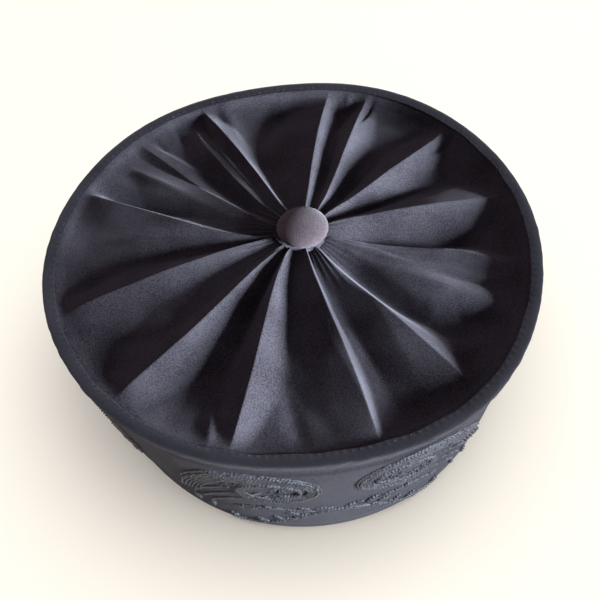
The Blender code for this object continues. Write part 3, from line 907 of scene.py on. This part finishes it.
seam_share = np.linspace(CROWN_SEAM_FROM, CROWN_SEAM_TO, CROWN_SEAM_COUNT)
all_columns = np.arange(crown_columns)
seam_high = []
for at in seam_share:
    across, over = crown_surface(all_columns, np.full(crown_columns, at))
    order = np.argsort(across % 360)
    seam_high.append(np.interp(CROWN_SEAM_AT, (across % 360)[order], over[order]))
seam_turn = math.radians(CROWN_SEAM_AT)
seam_reach = (rim_radius(seam_turn) - CROWN_INSET) * seam_share
seam_place = np.stack([BUTTON_PLACE[0] * (1 - seam_share) + seam_reach * math.cos(seam_turn),
                       BUTTON_PLACE[1] * (1 - seam_share) + seam_reach * math.sin(seam_turn),
                       np.array(seam_high)], axis=1)
seam_way = np.gradient(seam_place, axis=0)
seam_way /= np.linalg.norm(seam_way, axis=1)[:, None]
seam_side = np.array((math.sin(seam_turn), -math.cos(seam_turn), 0.0))
crown_seam = lay_stitches("crown_seam_stitches", seam_place,
                          (seam_way, np.cross(seam_side, seam_way)), SEAM_STITCH_LENGTH,
                          SEAM_STITCH_THICK, 23, crown_wool)


# Rim binding
# A strip of the same cloth folded over the top edge of the band and the crown.
# It puckers where it is stitched, and its ends meet over the band's seam.
BINDING_COLUMNS = 960
BINDING_STRIP = 24.0 * MM
# The strip's section: depth in from the outside and height over the rim, in mm.
BINDING_SECTION = np.array((
    (0.10, -4.2), (0.0, -3.6), (0.0, -2.4), (0.02, -1.5), (0.16, -0.85), (0.48, -0.34),
    (0.95, -0.08), (1.5, 0.0), (2.2, -0.08), (2.9, -0.2), (3.5, -0.38), (4.1, -0.62),
    (4.55, -0.84), (4.75, -1.0), (4.8, -1.14), (4.5, -1.2), (2.8, -1.2), (1.2, -1.2),
    (1.2, -2.2), (1.2, -3.4), (1.05, -4.2),
)) * MM
BINDING_SEAM_DEPTH = 0.35 * MM
PUCKER, PUCKER_HALF = 0.28 * MM, 0.9 * MM
# Unevenness of the top: how high, how long and a seed.
TOP_UNEVEN = ((0.14 * MM, 9 * MM, 5), (0.20 * MM, 47 * MM, 6))
EDGE_UNEVEN = 0.35 * MM
SIDE_UNEVEN = 0.16 * MM
STITCH_PITCH = 3.0 * MM
STITCH_INSET = 3.9 * MM
# Painted shade: the binding is the same wool as the band and crown, but its colours are set darker
# so that it reads as less brightly lit.
BINDING_SHADE_BLACK = (0.016, 0.015, 0.019, 1)
BINDING_SHADE_LIT = (0.030, 0.029, 0.036, 1)
BINDING_SHEEN = 0.2

binding, around, section = cloth_grid("rim_binding_cloth", BINDING_COLUMNS, len(BINDING_SECTION))
binding_angle = around * 2 * math.pi
binding_run = binding_angle * RIM_RADIUS
binding_row = np.rint(section * len(BINDING_SECTION)).astype(int) % len(BINDING_SECTION)
binding_depth, binding_lift = BINDING_SECTION[binding_row].T
stitch_count = int(round(2 * math.pi * (RIM_RADIUS - STITCH_INSET) / STITCH_PITCH))
pull = np.cos(binding_angle * stitch_count) * 0.5 + 0.5
top_side = (binding_row >= 7) & (binding_row <= 14)
near_row = np.exp(-((binding_depth - STITCH_INSET) / PUCKER_HALF) ** 2)
binding_lift = binding_lift - np.where(top_side, PUCKER * pull * near_row, 0)
for rise, length, seed in TOP_UNEVEN:
    waves = rise * drift(binding_run, 0, length, seed)
    binding_lift += np.where(top_side, waves, 0)
seam_run = from_seam(binding_angle)
binding_seam = BINDING_SEAM_DEPTH * (np.exp(-(seam_run / (0.5 * MM)) ** 2)
                                     - 0.6 * np.exp(-((seam_run - 1.4 * MM) / (1.2 * MM)) ** 2))
binding_lift -= np.where(top_side, binding_seam, 0)
inner_sway = EDGE_UNEVEN * drift(binding_run, 0, 22 * MM, 8)
inner_sway = inner_sway * np.clip((binding_depth - 2.6 * MM) / (1.6 * MM), 0, 1)
outer_side = np.clip(1 - binding_depth / (1.0 * MM), 0, 1) * (binding_row <= 6)
outer_sway = SIDE_UNEVEN * drift(binding_run, binding_lift, 7 * MM, 9) * outer_side
binding_radius = rim_radius(binding_angle) - binding_depth + np.where(top_side, inner_sway, 0)
binding_radius += outer_sway
lay_threads(binding, binding_run, section * BINDING_STRIP)
close_cloth(binding, binding_radius * np.cos(binding_angle), binding_radius * np.sin(binding_angle),
            HEIGHT + binding_lift)
# The binding's darker wool colours are painted shade.
binding.data.materials.append(woven_cloth("binding_wool_shaded", BINDING_SHADE_BLACK, BINDING_SHADE_LIT, THREAD_PITCH,
                                          BINDING_SHEEN))
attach(binding, "root")
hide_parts("rim_binding")


# Binding stitching
# Top stitching in the same dull black thread, close to the binding's inner edge
# and through the binding, the crown and the band.
STITCH_LENGTH = 1.2 * MM
STITCH_THICK = 0.17 * MM
STITCH_DIP = 0.62 * MM

stitch_angle = (np.arange(stitch_count) + 0.5) * 2 * math.pi / stitch_count
stitch_radius = rim_radius(stitch_angle) - STITCH_INSET
stitch_out = np.tile((0.0, 0.0, 1.0), (stitch_count, 1))
stitch_way = np.stack([-np.sin(stitch_angle), np.cos(stitch_angle), 0 * stitch_angle], axis=1)
stitch_rise, stitch_waves, stitch_seed = TOP_UNEVEN[1]
stitch_high = HEIGHT - STITCH_DIP + stitch_rise * drift(stitch_angle * RIM_RADIUS, 0, stitch_waves,
                                                        stitch_seed)
stitch_place = np.stack([stitch_radius * np.cos(stitch_angle),
                         stitch_radius * np.sin(stitch_angle), stitch_high], axis=1)
lay_stitches("binding_stitches", stitch_place, (stitch_way, stitch_out), STITCH_LENGTH,
             STITCH_THICK, 21, sewing_thread)


# Button
# A domed button about 21 mm across, covered in a finer weave of the same cloth
# and sewn down over the place where all the pleats meet.
BUTTON_RADIUS = 10.6 * MM
BUTTON_TALL = 5.2 * MM
BUTTON_SEAT = 75.1 * MM
BUTTON_GREY = (0.043, 0.033, 0.038, 1)
BUTTON_LIT = (0.100, 0.080, 0.088, 1)
BUTTON_EDGE = 1.6 * MM
BUTTON_SHEEN = 0.25
BUTTON_THREAD = 0.32 * MM

bpy.ops.object.select_all(action="DESELECT")
bpy.ops.mesh.primitive_uv_sphere_add(segments=96, ring_count=48, radius=BUTTON_RADIUS)
button = bpy.context.active_object
button.name = "button_cover"
places = np.empty(len(button.data.vertices) * 3)
button.data.vertices.foreach_get("co", places)
x, y, z = places.reshape(-1, 3).T
around = np.arctan2(y, x)
out = np.hypot(x, y) / BUTTON_RADIUS
dome = np.sqrt(np.clip(1 - out ** 2, 0, 1))
upper = BUTTON_EDGE + (BUTTON_TALL - BUTTON_EDGE) * dome ** 1.05
lower = BUTTON_EDGE * (1 - np.clip(dome * 1.25, 0, 1) ** 0.6)
lay_threads(button, x, y)
pucker = 1 + 0.012 * np.cos(around * 22) * np.clip(out, 0, 1) ** 8 * (z < 0)
z = BUTTON_SEAT + np.where(z >= 0, upper, lower)
close_cloth(button, BUTTON_PLACE[0] + x * pucker, BUTTON_PLACE[1] + y * pucker, z)
button.data.materials.append(woven_cloth("button_wool", BUTTON_GREY, BUTTON_LIT, BUTTON_THREAD,
                                         BUTTON_SHEEN))
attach(button, "root")
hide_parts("button")


# Light on the sides
# The low key light only rakes over the top of the cap. The upright band, its
# embroidery and the binding get a weaker, higher light from the same side.
BAND_AZIMUTH = -34.0
BAND_HEIGHT = 38.0
BAND_POWER = 31.0

band_light = soft_light("band_light", BAND_AZIMUTH, BAND_HEIGHT, KEY_DISTANCE, KEY_SIZE,
                        BAND_POWER, KEY_COLOUR)
light_only(band_light, side_band, binding, *embroidery)
light_only(key_light, floor, side_band, binding, *embroidery, leave_out=True)
